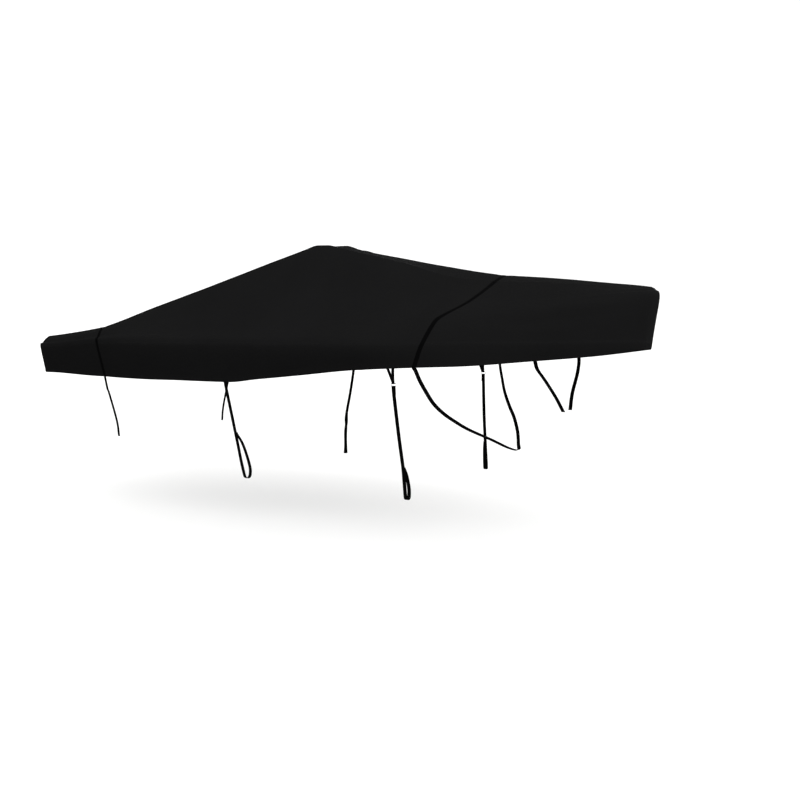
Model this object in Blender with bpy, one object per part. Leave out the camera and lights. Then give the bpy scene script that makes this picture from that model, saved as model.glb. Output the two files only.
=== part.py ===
"""Fitted storm cover for a trailered open runabout, with its over-straps and tie-downs.

The cover is one hollow sheet in the shape in which it is drawn over the boat: a nearly flat
stern deck, a hipped tent over the windscreen, a long foredeck and side skirts that end in a
hem. +X points to the bow, +Y to port and +Z up. The origin is on the underside of the cloth
where the windscreen holds it up, at the highest place on the centreline.
"""
import math

import bmesh
import bpy
from mathutils import Vector
from mathutils.bvhtree import BVHTree

CLOTH = 0.002              # thickness of the coated canvas
STERN_X = -2.575           # aft face of the skirt at the rub line
CORNER_RADIUS = 0.085      # plan radius of the two stern corners

# Each station gives x, then (half breadth, height) of five lines from the hem up to the hip,
# and last the height of the crest on the centreline: hem, rub line, shoulder, flank, hip.
STATIONS = (
    (-2.490, (0.872, -1.080), (0.935, -0.850), (0.918, -0.815), (0.898, -0.782), (0.862, -0.758), -0.745),
    (-1.830, (0.880, -1.102), (0.965, -0.812), (0.944, -0.755), (0.918, -0.706), (0.885, -0.677), -0.688),
    (-1.380, (0.950, -1.107), (1.010, -0.812), (0.935, -0.712), (0.845, -0.620), (0.738, -0.510), -0.540),
    (-0.930, (1.000, -1.102), (1.045, -0.810), (0.930, -0.700), (0.764, -0.535), (0.592, -0.345), -0.367),
    (-0.430, (1.020, -1.102), (1.055, -0.807), (0.930, -0.684), (0.690, -0.445), (0.430, -0.155), -0.160),
    (-0.150, (1.018, -1.072), (1.053, -0.805), (0.920, -0.676), (0.630, -0.394), (0.335, -0.050), -0.046),
    (-0.050, (1.012, -1.062), (1.050, -0.805), (0.915, -0.673), (0.610, -0.378), (0.300, -0.014), 0.002),
    (0.050, (1.005, -1.052), (1.045, -0.804), (0.905, -0.671), (0.600, -0.383), (0.298, -0.016), 0.002),
    (0.190, (0.995, -1.037), (1.035, -0.803), (0.890, -0.666), (0.580, -0.403), (0.290, -0.050), -0.037),
    (0.670, (0.945, -0.987), (0.975, -0.799), (0.830, -0.651), (0.520, -0.435), (0.240, -0.165), -0.137),
    (1.120, (0.855, -0.964), (0.850, -0.795), (0.735, -0.618), (0.500, -0.502), (0.200, -0.292), -0.222),
    (1.420, (0.760, -0.953), (0.745, -0.792), (0.650, -0.598), (0.420, -0.462), (0.170, -0.327), -0.270),
    (1.870, (0.595, -0.916), (0.590, -0.788), (0.510, -0.562), (0.330, -0.447), (0.140, -0.347), -0.307),
    (2.270, (0.400, -0.880), (0.405, -0.784), (0.360, -0.512), (0.245, -0.427), (0.110, -0.377), -0.350),
    (2.500, (0.225, -0.850), (0.240, -0.782), (0.222, -0.478), (0.158, -0.415), (0.075, -0.390), -0.373),
)
STERN_SHIFT = (-0.012, 0.000, 0.012, 0.034, 0.055)    # how far each line stands forward of STERN_X
STEM = ((2.583, -0.830), (2.592, -0.781), (2.640, -0.465), (2.612, -0.405), (2.580, -0.384))
NOSE_FULLNESS = 0.62       # plan of the stem: 0 is a point, 1 is square
CREST_POWER = 1.6          # how flat the top is across the crest
TOP_SAG = 0.012            # hollow of the cloth between hip and crest

PITCH = 0.13               # spacing of the mesh along the sides
ROWS = (2, 2, 2, 2)        # quads between neighbouring lines, from the hem up
ACROSS = 10                # quads across the top and the transom

WEBBING = 0.0018           # thickness of the strap webbing
STRAP_LIFT = 0.0045        # from the cover to the middle of a strap that lies on it
STRAP_STEPS = 900          # places at which the cover is felt from hem to hem
STRAP_FEELERS = (-0.5, -0.25, 0.0, 0.25, 0.5)     # where across the strap, in widths
STRAP_TOLERANCE = 0.0010
AXIS_Z = -0.850            # height of the line from which the over-straps are laid on the cover
STERN_STRAP_WIDTH = 0.025
STERN_STRAP_X = -1.830
STERN_TAIL = ((0.868, -1.140), (0.850, -1.212), (0.832, -1.250), (0.750, -1.492), (0.728, -1.630))
BOW_STRAP_WIDTH = 0.030
BOW_STRAP_X = 1.455        # where the bow strap crosses the crest
BOW_STRAP_SWEEP = 0.490    # it falls back towards the stern by this times y squared
BOW_STRAP_KNEE = 0.714     # half breadth where it turns down the side
BOW_STRAP_KNEE_Z = -0.615
BOW_STRAP_LEAN = 0.324     # how far it falls back down the side, for each metre of drop
HULL_ROUTE = (             # the bow strap from the hem round the hull to the keel
    (1.106, 0.858, -0.984),
    (1.125, 0.835, -1.049),
    (1.153, 0.800, -1.125),
    (1.194, 0.745, -1.223),
    (1.244, 0.680, -1.299),
    (1.302, 0.600, -1.364),
    (1.373, 0.500, -1.432),
    (1.474, 0.300, -1.523),
    (1.545, 0.120, -1.602),
    (1.585, 0.000, -1.632),
)
HULL_FLARE = 0.30          # forward lean of the bow strap's face on the hull

TIE_WIDTH = 0.030
MID_TIE = (                # from inside the hem amidships down and round the trailer's beam
    (-0.455, 1.0160, -1.050),
    (-0.456, 1.0080, -1.125),
    (-0.457, 0.9500, -1.314),
    (-0.462, 0.8780, -1.531),
    (-0.454, 0.8600, -1.624),
    (-0.445, 0.8350, -1.749),
    (-0.430, 0.8150, -1.860),
    (-0.424, 0.8060, -1.880),
    (-0.420, 0.7880, -1.886),
    (-0.416, 0.7700, -1.878),
    (-0.410, 0.7650, -1.850),
    (-0.410, 0.7700, -1.793),
    (-0.426, 0.7980, -1.679),
    (-0.436, 0.8370, -1.590),
    (-0.450, 0.8640, -1.545),
)
FORE_TIE = (               # from the fold round the ring down and round the trailer's beam
    (0.945, 0.8780, -1.160),
    (0.944, 0.8812, -1.1060),
    (0.944, 0.8817, -1.0990),
    (0.944, 0.8827, -1.0967),
    (0.944, 0.8850, -1.0957),
    (0.944, 0.8873, -1.0967),
    (0.944, 0.8883, -1.0990),
    (0.944, 0.8870, -1.1120),
    (0.947, 0.8830, -1.1700),
    (0.969, 0.8500, -1.467),
    (0.990, 0.8270, -1.686),
    (0.999, 0.8220, -1.800),
    (1.007, 0.8180, -1.915),
    (1.009, 0.8080, -1.932),
    (1.010, 0.7900, -1.938),
    (1.011, 0.7720, -1.928),
    (1.011, 0.7650, -1.905),
    (1.009, 0.7650, -1.853),
    (1.000, 0.7850, -1.760),
    (0.991, 0.8170, -1.694),
)
FORE_TAB = (               # the hem tab: aft leg down from the hem, round the ring and up again
    (0.884, 0.8890, -0.945),
    (0.905, 0.8830, -0.995),
    (0.932, 0.8810, -1.0600),
    (0.940, 0.8817, -1.0790),
    (0.943, 0.8827, -1.0813),
    (0.943, 0.8850, -1.0823),
    (0.943, 0.8873, -1.0813),
    (0.942, 0.8883, -1.0790),
    (0.939, 0.8875, -1.020),
    (0.936, 0.8800, -0.950),
)
TAB_WIDTH = 0.025
BOW_TIE = (                # from inside the hem under the bow down to the keel roller
    (1.893, 0.5700, -0.878),
    (1.900, 0.5630, -0.925),
    (1.908, 0.5350, -0.975),
    (1.927, 0.4200, -1.056),
    (1.947, 0.2200, -1.191),
    (1.969, 0.0900, -1.311),
)
RING_CENTRE = (0.944, 0.8850, -1.0890)
RING_HALF_WIDTH = 0.0200   # to the middle of the wire
RING_HALF_HEIGHT = 0.0100
RING_CORNER = 0.0045
RING_WIRE = 0.0019
RING_SIDES = 8
RING_CORNER_STEPS = 3


def material(name, colour, roughness, metallic=0.0):
    """A plain Principled material."""
    made = bpy.data.materials.new(name)
    made.use_nodes = True
    shader = made.node_tree.nodes["Principled BSDF"]
    shader.inputs["Base Color"].default_value = (*colour, 1.0)
    shader.inputs["Roughness"].default_value = roughness
    shader.inputs["Metallic"].default_value = metallic
    return made


def add_object(name, points, faces, finish, smooth=True):
    """A mesh object with its faces turned outwards."""
    mesh = bpy.data.meshes.new(name)
    mesh.from_pydata([tuple(p) for p in points], [], faces)
    mesh.materials.append(finish)
    if smooth:
        mesh.shade_smooth()
        mesh.set_sharp_from_angle(angle=math.radians(35))
    made = bpy.data.objects.new(name, mesh)
    bpy.context.scene.collection.objects.link(made)
    return made


def monotone(knots, values, at):
    """Cubic through the values with no overshoot between the knots."""
    steps = [b - a for a, b in zip(knots, knots[1:])]
    slopes = [(b - a) / h for a, b, h in zip(values, values[1:], steps)]
    tangents = [slopes[0]]
    for before, after in zip(slopes, slopes[1:]):
        same_way = before * after > 0.0
        tangents.append(2.0 * before * after / (before + after) if same_way else 0.0)
    tangents.append(slopes[-1])
    span = max(i for i in range(len(steps)) if knots[i] <= at or i == 0)
    t = (at - knots[span]) / steps[span]
    value = values[span] * (1 + 2 * t) * (1 - t) ** 2 + values[span + 1] * t * t * (3 - 2 * t)
    bend = tangents[span] * t * (1 - t) ** 2 - tangents[span + 1] * t * t * (1 - t)
    return value + bend * steps[span]


def line_knots(level):
    """Knots of one line of the starboard half, (x, half breadth, z), from transom to stem."""
    stern_x = STERN_X + STERN_SHIFT[level]
    breadth, height = STATIONS[0][1 + level]
    arc = 1.0 - math.sqrt(0.5)
    knots = [(stern_x, breadth - CORNER_RADIUS, height)]
    knots.append((stern_x + arc * CORNER_RADIUS, breadth - arc * CORNER_RADIUS, height))
    knots += [(station[0], *station[1 + level]) for station in STATIONS]
    last_x, last_b, last_z = knots[-1]
    stem_x, stem_z = STEM[level]
    knots.append((
        0.25 * last_x + 0.75 * stem_x,
        (0.25 + 0.5 * NOSE_FULLNESS) * last_b,
        0.5 * (last_z + stem_z),
    ))
    knots.append((stem_x, 0.0, stem_z))
    return knots


def side_parameters():
    """Arc length of each knot along the rub line, and the places that the mesh samples."""
    rub = [Vector(k) for k in line_knots(1)]
    knots = [0.0]
    for a, b in zip(rub, rub[1:]):
        knots.append(knots[-1] + (b - a).length)
    places = []
    for span, (a, b) in enumerate(zip(knots, knots[1:])):
        finest = 2 if span < 2 or span > len(knots) - 4 else 1
        count = max(finest, round((b - a) / PITCH))
        places += [a + (b - a) * i / count for i in range(count)]
    return knots, places + [knots[-1]]


def catmull(points, span, t):
    """A point on the smooth curve through a row of points."""
    p1, p2 = points[span], points[span + 1]
    p0 = points[span - 1] if span else 2 * p1 - p2
    p3 = points[span + 2] if span + 2 < len(points) else 2 * p2 - p1
    return 0.5 * (2 * p1 + (p2 - p0) * t + (2 * p0 - 5 * p1 + 4 * p2 - p3) * t ** 2
                  + (3 * p1 - p0 - 3 * p2 + p3) * t ** 3)


def crest_height(x):
    """Height of the centreline."""
    hip_stem_x, hip_stem_z = STEM[-1]
    knots = [s[0] for s in STATIONS] + [hip_stem_x]
    heights = [s[6] for s in STATIONS] + [hip_stem_z]
    return monotone(knots, heights, min(max(x, knots[0]), knots[-1]))


def across(point, v):
    """A point of the top between the crest (v = 0) and the hip on the side of v = 1 or -1."""
    crest = crest_height(point.x)
    height = crest + (point.z - crest) * abs(v) ** CREST_POWER
    sag = TOP_SAG * 4.0 * abs(v) * (1.0 - abs(v)) * min(1.0, point.y / 0.3)
    return Vector((point.x, -v * point.y, height - sag))


def cover_surface():
    """Points and triangles of the cover's outer face, open along the hem."""
    knots, places = side_parameters()
    lines = []
    for level in range(5):
        shape = line_knots(level)
        lines.append([Vector([monotone(knots, [k[i] for k in shape], at) for i in range(3)])
                      for at in places])
    rows = []
    for span, count in enumerate(ROWS):
        for step in range(count):
            rows.append([catmull(section, span, step / count) for section in zip(*lines)])
    rows.append(lines[-1])

    points = []
    rings = []
    end = len(places) - 1
    for level, row in enumerate(rows):
        share = max(0.0, (level - ROWS[0]) / (len(rows) - 1 - ROWS[0]))
        ring = [Vector((p.x, -p.y, p.z)) for p in row]
        ring += [Vector(p) for p in row[end - 1::-1]]
        for i in range(1, ACROSS):
            v = -1.0 + 2.0 * i / ACROSS
            crown = across(rows[-1][0], v).z - rows[-1][0].z
            ring.append(Vector((row[0].x, -v * row[0].y, row[0].z + share * crown)))
        rings.append(range(len(points), len(points) + len(ring)))
        points += ring
    around = len(rings[0])
    faces = [(low[i], low[(i + 1) % around], high[(i + 1) % around], high[i])
             for low, high in zip(rings, rings[1:]) for i in range(around)]

    top = rings[-1]
    previous = [top[0]] + [top[around - i] for i in range(1, ACROSS)] + [top[2 * end]]
    for j in range(1, end):
        inner = [across(rows[-1][j], 1.0 - 2.0 * i / ACROSS) for i in range(1, ACROSS)]
        current = [top[j]] + list(range(len(points), len(points) + ACROSS - 1)) + [top[2 * end - j]]
        points += inner
        faces += [(previous[i], current[i], current[i + 1], previous[i + 1]) for i in range(ACROSS)]
        previous = current
    faces += [(previous[i], top[end], previous[i + 1]) for i in range(ACROSS)]
    triangles = [(face[0], face[i], face[i + 1]) for face in faces for i in range(1, len(face) - 1)]
    return points, triangles


def build_cover(finish):
    """The cover as one closed sheet, and the tree that straps are laid on."""
    points, faces = cover_surface()
    cover = add_object("cover", points, faces, finish)
    wall = cover.modifiers.new("cloth", "SOLIDIFY")
    wall.thickness = CLOTH
    wall.offset = -1.0
    wall.use_even_offset = True
    return BVHTree.FromPolygons(points, faces)


def ribbon(name, route, normals, width, finish, closed=False, level=False):
    """A flat strap along a route, its face turned along the normals.

    A level strap keeps its width fore and aft, and its ends are open unless it is closed.
    """
    count = len(route)
    points = []
    for i, (place, normal) in enumerate(zip(route, normals)):
        before = route[i - 1] if i or closed else place
        after = route[(i + 1) % count] if i + 1 < count or closed else place
        along = (after - before).normalized()
        side = Vector((-1.0, 0.0, 0.0)) if level else along.cross(normal).normalized()
        face = side.cross(along).normalized()
        for across_, up in ((1, 1), (1, -1), (-1, -1), (-1, 1)):
            points.append(place + side * across_ * width / 2 + face * up * WEBBING / 2)
    faces = []
    for i in range(count if closed else count - 1):
        a, b = 4 * i, 4 * ((i + 1) % count)
        faces += [(a + k, a + (k + 1) % 4, b + (k + 1) % 4, b + k) for k in range(4)]
    if not closed:
        faces += [(3, 2, 1, 0), (4 * count - 4, 4 * count - 3, 4 * count - 2, 4 * count - 1)]
    return add_object(name, points, faces, finish, smooth=False)


def corners(line, first, last):
    """Indices of the points between two others that keep a line within the strap's tolerance."""
    along = (line[last] - line[first]).normalized()
    offsets = [(line[i] - line[first]).cross(along).length for i in range(first, last + 1)]
    worst = max(range(len(offsets)), key=offsets.__getitem__)
    if offsets[worst] <= STRAP_TOLERANCE:
        return set()
    worst += first
    return {worst} | corners(line, first, worst) | corners(line, worst, last)


def over_cover(tree, strap_x, low_angle, width):
    """Route of a strap's middle over the cover, and its normals, from starboard hem to port."""
    def hit(angle, shift):
        heading = Vector((0.0, -math.cos(angle), math.sin(angle)))
        found = Vector((0.0, 0.0, 0.0))
        for _ in range(6):
            found = tree.ray_cast(Vector((strap_x(found) + shift, 0.0, AXIS_Z)), heading)[0]
        return found

    angles = [low_angle + (math.pi - 2 * low_angle) * i / STRAP_STEPS for i in range(STRAP_STEPS + 1)]
    middle_feeler = len(STRAP_FEELERS) // 2
    rows = [[hit(angle, width * share) for share in STRAP_FEELERS] for angle in angles]
    kept = {0, STRAP_STEPS}
    for line in zip(*rows):
        kept |= corners(line, 0, STRAP_STEPS)
    route = []
    normals = []
    for i in sorted(kept):
        middle = rows[i][middle_feeler]
        after = rows[min(i + 1, STRAP_STEPS)][middle_feeler]
        along = after - rows[max(i - 1, 0)][middle_feeler]
        normal = along.cross(rows[i][0] - rows[i][-1]).normalized()
        crown = max((place - middle).dot(normal) for place in rows[i])
        route.append(middle + normal * (crown + STRAP_LIFT))
        normals.append(normal)
    return route, normals


def off_hull(route):
    """Normals of a strap that lies on the hull: away from the boat's axis and a little forward."""
    return [Vector((HULL_FLARE, p.y, p.z - AXIS_Z)).normalized() for p in route]


def build_stern_strap(tree, finish):
    """The strap over the stern deck, with a free tail down each side."""
    over, normals = over_cover(tree, lambda place: STERN_STRAP_X, math.radians(-15.2),
                               STERN_STRAP_WIDTH)
    tail = [Vector((STERN_STRAP_X, y, z)) for y, z in STERN_TAIL]
    starboard = [Vector((p.x, -p.y, p.z)) for p in reversed(tail)]
    down = [Vector((0.0, 1.0, 0.0))] * len(tail)
    up = [Vector((0.0, -1.0, 0.0))] * len(tail)
    route = starboard + over + tail
    ribbon("stern_strap", route, up + normals + down, STERN_STRAP_WIDTH, finish)


def bow_strap_x(place):
    """Where the middle of the bow strap lies along the boat, at a place on the cover."""
    back = BOW_STRAP_SWEEP * min(abs(place.y), BOW_STRAP_KNEE) ** 2
    return BOW_STRAP_X - back - BOW_STRAP_LEAN * max(0.0, BOW_STRAP_KNEE_Z - place.z)


def build_bow_strap(tree, finish):
    """The strap over the foredeck, closed round the hull under the keel."""
    over, normals = over_cover(tree, bow_strap_x, math.radians(-6.2), BOW_STRAP_WIDTH)
    port = [Vector(p) for p in HULL_ROUTE]
    starboard = [Vector((x, -y, z)) for x, y, z in reversed(HULL_ROUTE[:-1])]
    route = over + port + starboard
    normals += off_hull(port + starboard)
    ribbon("bow_strap", route, normals, BOW_STRAP_WIDTH, finish, closed=True)


def build_side_webbing(name, route, side, width, finish):
    """A flat piece that hangs in a line with its face across the boat."""
    placed = [Vector((x, y * side, z)) for x, y, z in route]
    ribbon(name, placed, placed, width, finish, level=True)


def ring_outline():
    """Middle of the ring's wire, as (x, z) about its centre."""
    outline = []
    for corner in range(4):
        turn = math.pi / 2 * corner
        x_side = 1 if corner in (0, 3) else -1
        z_side = 1 if corner in (0, 1) else -1
        for step in range(RING_CORNER_STEPS + 1):
            angle = turn + math.pi / 2 * step / RING_CORNER_STEPS
            outline.append((
                x_side * (RING_HALF_WIDTH - RING_CORNER) + RING_CORNER * math.cos(angle),
                z_side * (RING_HALF_HEIGHT - RING_CORNER) + RING_CORNER * math.sin(angle),
            ))
    return outline


def build_ring(name, side, finish):
    """The flat-sided wire ring between the fore hem tab and its tie."""
    centre = Vector((RING_CENTRE[0], RING_CENTRE[1] * side, RING_CENTRE[2]))
    outline = ring_outline()
    count = len(outline)
    points = []
    for i, (x, z) in enumerate(outline):
        before, after = outline[i - 1], outline[(i + 1) % count]
        along = Vector((after[0] - before[0], 0.0, after[1] - before[1])).normalized()
        spoke = Vector((along.z, 0.0, -along.x))
        for k in range(RING_SIDES):
            turn = 2 * math.pi * k / RING_SIDES
            reach = spoke * math.cos(turn) + Vector((0.0, math.sin(turn), 0.0))
            points.append(centre + Vector((x, 0.0, z)) + reach * RING_WIRE)
    faces = [(i * RING_SIDES + k, i * RING_SIDES + (k + 1) % RING_SIDES,
              (i + 1) % count * RING_SIDES + (k + 1) % RING_SIDES, (i + 1) % count * RING_SIDES + k)
             for i in range(count) for k in range(RING_SIDES)]
    add_object(name, points, faces, finish)


def main():
    for old in list(bpy.data.objects):
        bpy.data.objects.remove(old, do_unlink=True)
    canvas = material("canvas", (0.0105, 0.0105, 0.0110), 0.85)
    webbing = material("webbing", (0.006, 0.006, 0.006), 0.70)
    metal = material("zinc_plate", (0.62, 0.62, 0.60), 0.35, 1.0)
    tree = build_cover(canvas)
    build_stern_strap(tree, webbing)
    build_bow_strap(tree, webbing)
    for side, word in ((-1, "starboard"), (1, "port")):
        build_side_webbing("mid_tie_" + word, MID_TIE, side, TIE_WIDTH, webbing)
        build_side_webbing("fore_tie_" + word, FORE_TIE, side, TIE_WIDTH, webbing)
        build_side_webbing("fore_tab_" + word, FORE_TAB, side, TAB_WIDTH, webbing)
        build_ring("ring_" + word, side, metal)
        build_side_webbing("bow_tie_" + word, BOW_TIE, side, TIE_WIDTH, webbing)


main()
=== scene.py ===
"""Looks of the fitted storm cover for a trailered open runabout.

The cover is drawn afresh from its stations on a fine mesh, with its folds, the hollows under its
straps, its felled seams and its doubled hem. Straps, ties and tabs are woven webbing, the rings
are zinc plated wire. +X points to the bow, +Y to port and +Z up, in metres.
"""
import math

import bpy
import numpy as np
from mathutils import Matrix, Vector, noise
from mathutils.bvhtree import BVHTree


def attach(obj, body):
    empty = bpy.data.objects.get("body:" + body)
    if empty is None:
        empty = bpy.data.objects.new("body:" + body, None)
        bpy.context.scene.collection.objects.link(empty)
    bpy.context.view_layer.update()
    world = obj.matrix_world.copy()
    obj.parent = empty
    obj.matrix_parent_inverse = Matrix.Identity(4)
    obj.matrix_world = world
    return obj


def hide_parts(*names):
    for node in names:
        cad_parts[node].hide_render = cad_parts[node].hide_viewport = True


# Each station gives x, then (half breadth, height) of five lines from the hem up to the hip,
# and last the height of the crest on the centreline: hem, rub line, shoulder, flank, hip.
STATIONS = (
    (-2.490, (0.872, -1.080), (0.935, -0.850), (0.918, -0.815), (0.898, -0.782), (0.862, -0.758), -0.745),
    (-1.830, (0.880, -1.102), (0.965, -0.812), (0.944, -0.755), (0.918, -0.706), (0.885, -0.677), -0.688),
    (-1.380, (0.950, -1.107), (1.010, -0.812), (0.935, -0.712), (0.845, -0.620), (0.738, -0.510), -0.540),
    (-0.930, (1.000, -1.102), (1.045, -0.810), (0.930, -0.700), (0.764, -0.535), (0.592, -0.345), -0.367),
    (-0.430, (1.020, -1.102), (1.055, -0.807), (0.930, -0.684), (0.690, -0.445), (0.430, -0.155), -0.160),
    (-0.150, (1.018, -1.072), (1.053, -0.805), (0.920, -0.676), (0.630, -0.394), (0.335, -0.050), -0.046),
    (-0.050, (1.012, -1.062), (1.050, -0.805), (0.915, -0.673), (0.610, -0.378), (0.300, -0.014), 0.002),
    (0.050, (1.005, -1.052), (1.045, -0.804), (0.905, -0.671), (0.600, -0.383), (0.298, -0.016), 0.002),
    (0.190, (0.995, -1.037), (1.035, -0.803), (0.890, -0.666), (0.580, -0.403), (0.290, -0.050), -0.037),
    (0.670, (0.945, -0.987), (0.975, -0.799), (0.830, -0.651), (0.520, -0.435), (0.240, -0.165), -0.137),
    (1.120, (0.855, -0.964), (0.850, -0.795), (0.735, -0.618), (0.500, -0.502), (0.200, -0.292), -0.222),
    (1.420, (0.760, -0.953), (0.745, -0.792), (0.650, -0.598), (0.420, -0.462), (0.170, -0.327), -0.270),
    (1.870, (0.595, -0.916), (0.590, -0.788), (0.510, -0.562), (0.330, -0.447), (0.140, -0.347), -0.307),
    (2.270, (0.400, -0.880), (0.405, -0.784), (0.360, -0.512), (0.245, -0.427), (0.110, -0.377), -0.350),
    (2.500, (0.225, -0.850), (0.240, -0.782), (0.222, -0.478), (0.158, -0.415), (0.075, -0.390), -0.373),
)
STERN_X = -2.575
STERN_SHIFT = (-0.012, 0.000, 0.012, 0.034, 0.055)
STEM = ((2.583, -0.830), (2.592, -0.781), (2.640, -0.465), (2.612, -0.405), (2.580, -0.384))
CORNER_RADIUS = 0.085
NOSE_FULLNESS = 0.62
CREST_POWER = 1.6
TOP_SAG = 0.012

PITCH = 0.025              # spacing of the cloth's mesh
ACROSS = 56                # quads across the top and the transom
CLOTH = 0.0012             # thickness
HEM = 0.032                # width of the doubled hem
HEM_STEP = 0.0009
SEAM = 0.0065              # half the width of a felled seam
SEAM_EDGE = 0.0012         # width of the slope at a seam's edge
SEAM_SLACK = 0.0004        # rows this near a seam's edge count as outside it
SEAM_STEP = 0.0005
CROWN_START = 0.35         # share of the transom's rows, from the hem, that stay level
HEM_STITCHES = HEM - 0.005   # from the hem's edge up to its stitches
SEAM_STITCHES = 0.6 * SEAM

WEBBING = 0.0017           # thickness
STRAP_LIFT = 0.0012        # from the cloth to the middle of a strap that lies on it
STRAP_STEP = 0.008         # spacing of the points along a strap
HULL_STEP = 0.012          # the same under the hull
AXIS_Z = -0.850            # height from which the bow strap faces outwards under the hull
STERN_STRAP_WIDTH = 0.025
STERN_STRAP_X = -1.830
STERN_TAIL = ((0.868, -1.140), (0.850, -1.212), (0.832, -1.250), (0.750, -1.492), (0.728, -1.630))
BOW_STRAP_WIDTH = 0.030
BOW_STRAP_X = 1.455        # where it crosses the crest
BOW_STRAP_SWEEP = 0.490    # it falls back by this times y squared, out to the knee
BOW_STRAP_KNEE = 0.714
BOW_STRAP_KNEE_Z = -0.615
BOW_STRAP_LEAN = 0.324     # how far it falls back below the knee, for each metre of drop
HULL_ROUTE = (
    (1.106, 0.858, -0.984), (1.125, 0.835, -1.049), (1.153, 0.800, -1.125), (1.194, 0.745, -1.223),
    (1.244, 0.680, -1.299), (1.302, 0.600, -1.364), (1.373, 0.500, -1.432), (1.474, 0.300, -1.523),
    (1.545, 0.120, -1.602), (1.585, 0.000, -1.632),
)
HULL_FLARE = 0.30
TIE_WIDTH = 0.030
MID_TIE = (
    (-0.455, 1.0160, -1.050), (-0.456, 1.0080, -1.125), (-0.457, 0.9500, -1.314),
    (-0.462, 0.8780, -1.531), (-0.454, 0.8600, -1.624), (-0.445, 0.8350, -1.749),
    (-0.430, 0.8150, -1.860), (-0.424, 0.8060, -1.880), (-0.420, 0.7880, -1.886),
    (-0.416, 0.7700, -1.878), (-0.410, 0.7650, -1.850), (-0.410, 0.7700, -1.793),
    (-0.426, 0.7980, -1.679), (-0.436, 0.8370, -1.590), (-0.451, 0.8650, -1.538),
    (-0.460, 0.8832, -1.505),
)
FORE_TIE = (
    (0.945, 0.8780, -1.160), (0.944, 0.8812, -1.1060), (0.944, 0.8817, -1.0990),
    (0.944, 0.8827, -1.0967), (0.944, 0.8850, -1.0957), (0.944, 0.8873, -1.0967),
    (0.944, 0.8883, -1.0990), (0.944, 0.8870, -1.1120), (0.947, 0.8830, -1.1700),
    (0.969, 0.8500, -1.467), (0.990, 0.8270, -1.686), (0.999, 0.8220, -1.800),
    (1.007, 0.8180, -1.915), (1.009, 0.8080, -1.932), (1.010, 0.7900, -1.938),
    (1.011, 0.7720, -1.928), (1.011, 0.7650, -1.905), (1.009, 0.7650, -1.853),
    (1.000, 0.7850, -1.760), (0.991, 0.8170, -1.694),
)
FORE_TAB = (
    (0.884, 0.8890, -0.945), (0.905, 0.8830, -0.995), (0.932, 0.8810, -1.0600),
    (0.940, 0.8817, -1.0790), (0.943, 0.8827, -1.0813), (0.943, 0.8850, -1.0823),
    (0.943, 0.8873, -1.0813), (0.942, 0.8883, -1.0790), (0.939, 0.8875, -1.020),
    (0.936, 0.8800, -0.950),
)
TAB_WIDTH = 0.025
BOW_TIE = (
    (1.893, 0.5700, -0.878), (1.900, 0.5630, -0.925), (1.908, 0.5350, -0.975),
    (1.927, 0.4200, -1.056), (1.947, 0.2200, -1.191), (1.969, 0.0900, -1.311),
)
RING_CENTRE = Vector((0.944, 0.8850, -1.0890))
RING_HALF_WIDTH = 0.0200
RING_HALF_HEIGHT = 0.0100
RING_CORNER = 0.0045
RING_WIRE = 0.0019         # half the wire's thickness

# Soft folds of the sides: start and end as (x, z), rise over the cloth (a trough is negative),
# half width, and how far the fold bows upwards. The last word says which side it is on.
SIDE_FOLDS = (
    ((1.42, -0.545), (2.60, -0.445), -0.0065, 0.030, 0.010, "both"),
    ((1.46, -0.600), (2.56, -0.490), 0.0050, 0.032, 0.012, "both"),
    ((1.62, -0.668), (2.58, -0.535), -0.0075, 0.028, -0.008, "both"),
    ((1.40, -0.700), (2.20, -0.690), 0.0040, 0.030, 0.006, "both"),
    ((1.50, -0.480), (2.35, -0.425), 0.0030, 0.026, 0.006, "both"),
    ((2.10, -0.610), (2.56, -0.585), 0.0040, 0.024, 0.000, "starboard"),
    ((1.22, -0.600), (0.30, -0.640), -0.0040, 0.038, 0.010, "both"),
    ((1.18, -0.690), (0.55, -0.730), -0.0030, 0.030, 0.000, "both"),
    ((-0.06, -0.060), (-0.62, -0.640), 0.0030, 0.045, 0.012, "both"),
    ((0.08, -0.080), (0.46, -0.600), 0.0035, 0.045, -0.014, "both"),
    ((0.00, -0.060), (-0.08, -0.600), -0.0030, 0.060, 0.000, "both"),
    ((-1.70, -0.700), (-0.95, -0.560), -0.0035, 0.040, -0.010, "both"),
    ((-1.72, -0.760), (-1.05, -0.730), 0.0030, 0.034, 0.006, "both"),
    ((-1.95, -0.775), (-2.48, -0.805), -0.0030, 0.026, 0.004, "both"),
    ((-0.80, -0.850), (-0.62, -1.080), 0.0035, 0.060, 0.000, "port"),
    ((0.60, -0.840), (0.74, -0.960), 0.0030, 0.050, 0.000, "port"),
)
# Soft folds of the top, with their start and end as (x, y).
TOP_FOLDS = (
    ((-0.20, 0.26), (-1.55, 0.58), -0.0050, 0.050, 0.030),
    ((-0.20, -0.26), (-1.60, -0.52), -0.0045, 0.050, -0.030),
    ((-0.25, 0.08), (-1.35, 0.20), 0.0035, 0.060, 0.000),
    ((-0.25, -0.10), (-1.45, -0.24), 0.0040, 0.060, 0.000),
    ((-0.95, 0.40), (-1.70, 0.05), -0.0030, 0.050, 0.040),
    ((-1.95, 0.60), (-2.42, 0.35), -0.0035, 0.040, 0.020),
    ((-1.95, -0.50), (-2.45, -0.62), 0.0030, 0.040, 0.010),
    ((-1.95, 0.05), (-2.40, -0.10), -0.0030, 0.050, 0.020),
    ((0.20, 0.14), (1.10, 0.08), -0.0035, 0.035, 0.010),
    ((0.20, -0.14), (1.20, -0.07), 0.0030, 0.035, 0.010),
)
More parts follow.
